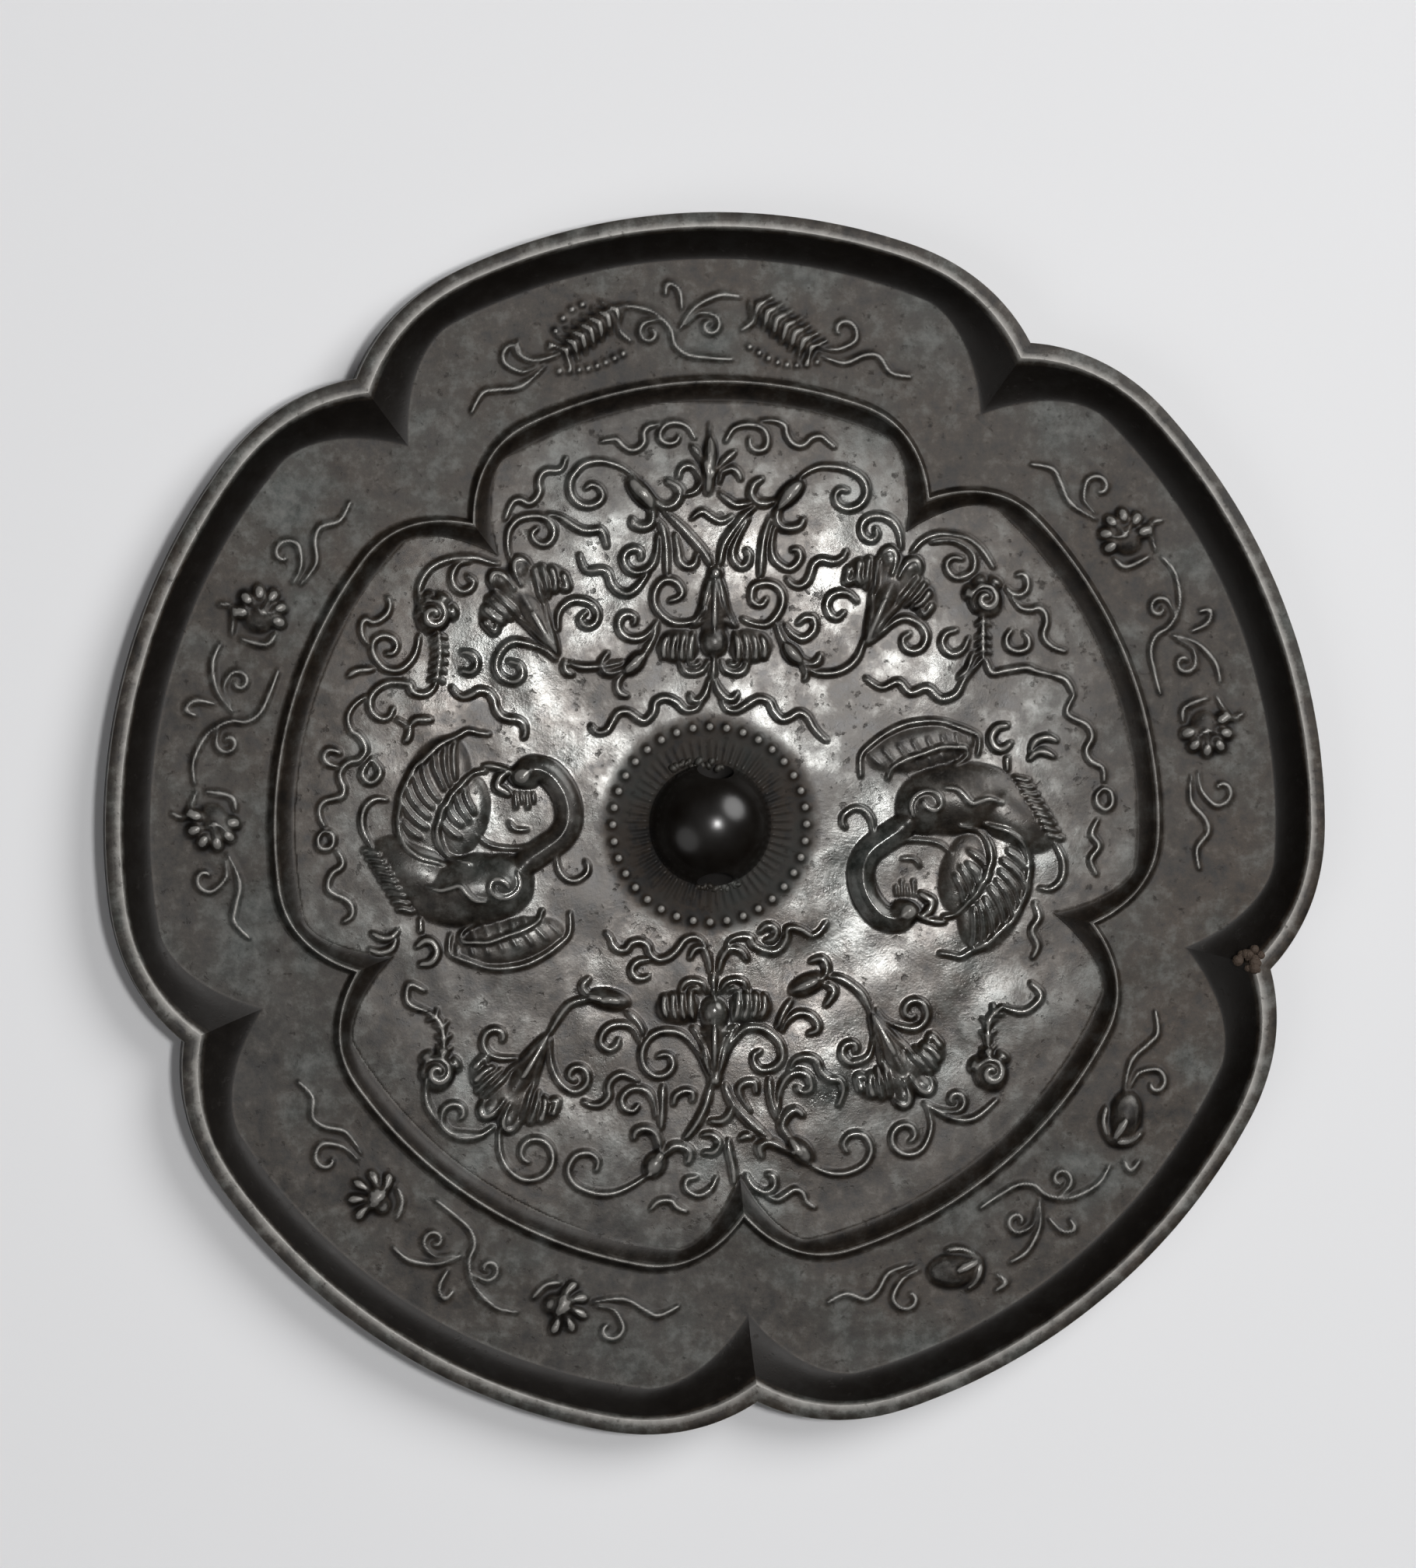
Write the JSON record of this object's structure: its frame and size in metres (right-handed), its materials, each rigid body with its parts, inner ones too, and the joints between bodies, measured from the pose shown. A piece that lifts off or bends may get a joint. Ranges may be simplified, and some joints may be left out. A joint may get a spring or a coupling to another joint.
{
  "type": "ancient bronze mirror",
  "caption": "Lobed cast bronze mirror with a pierced domed knob, beads, paired phoenixes and flower scrolls, lying on its polished face.",
  "frame": {"origin": "centre of the mirror's disc, on its polished face", "axes": "+Z out of the decorated back, +Y towards the top of the design, +X to its right"},
  "size_m": [0.1996, 0.1982, 0.0111],
  "materials": {
    "dark_bronze": "aged, dark patina"
  },
  "bodies": {
    "root": {"bronze_mirror": "dark_bronze"}
  },
  "joints": []
}
